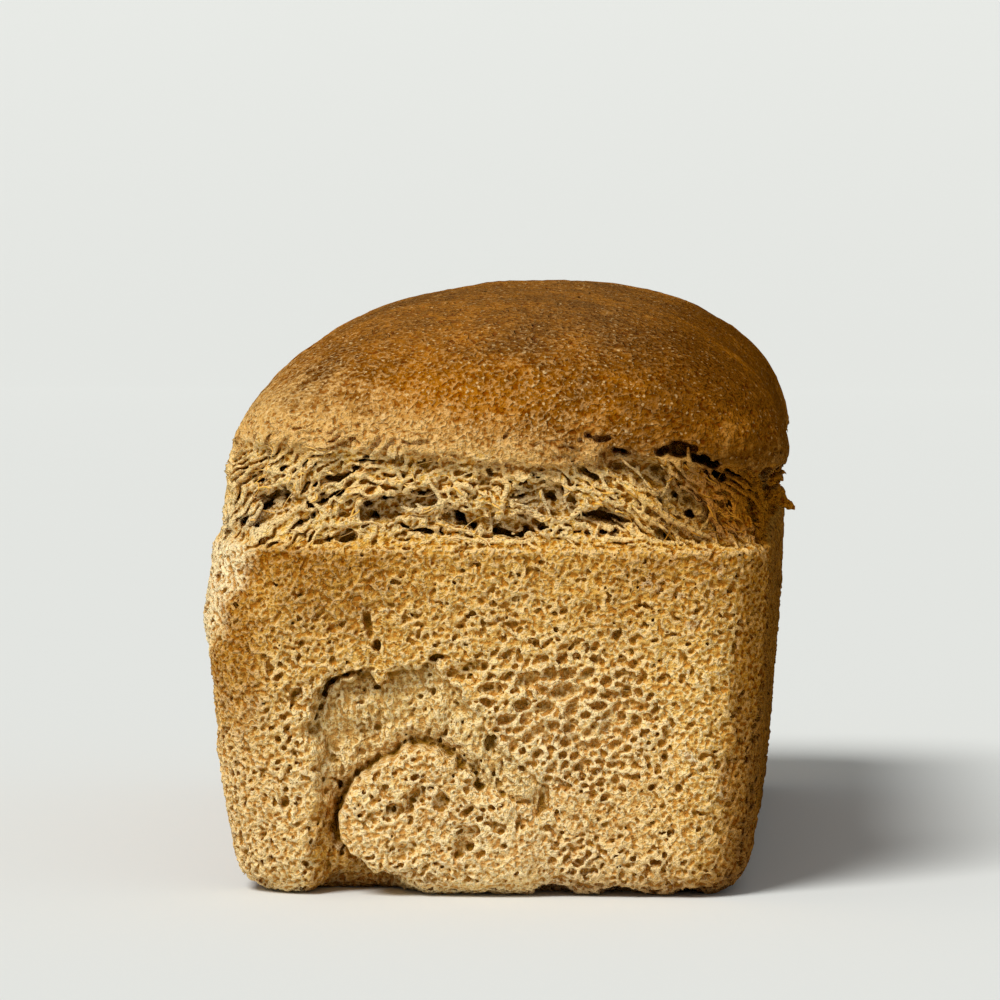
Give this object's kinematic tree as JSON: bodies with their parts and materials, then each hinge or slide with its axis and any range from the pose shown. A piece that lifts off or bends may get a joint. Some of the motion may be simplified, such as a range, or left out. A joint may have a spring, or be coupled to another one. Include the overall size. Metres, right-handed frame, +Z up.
{
  "type": "tin loaf",
  "caption": "Whole wholemeal loaf with the form of its tin below, a torn band of dough above the rim and a domed brown crust on top.",
  "frame": {"origin": "on the flat base, under the middle of the tin-shaped part", "axes": "+X to the loaf's right as its rolled front end is looked at, +Y along the loaf towards its back end, +Z up"},
  "size_m": [0.117, 0.2192, 0.1216],
  "materials": {
    "loaf_crust": null
  },
  "bodies": {
    "root": {"loaf": "loaf_crust"}
  },
  "joints": []
}
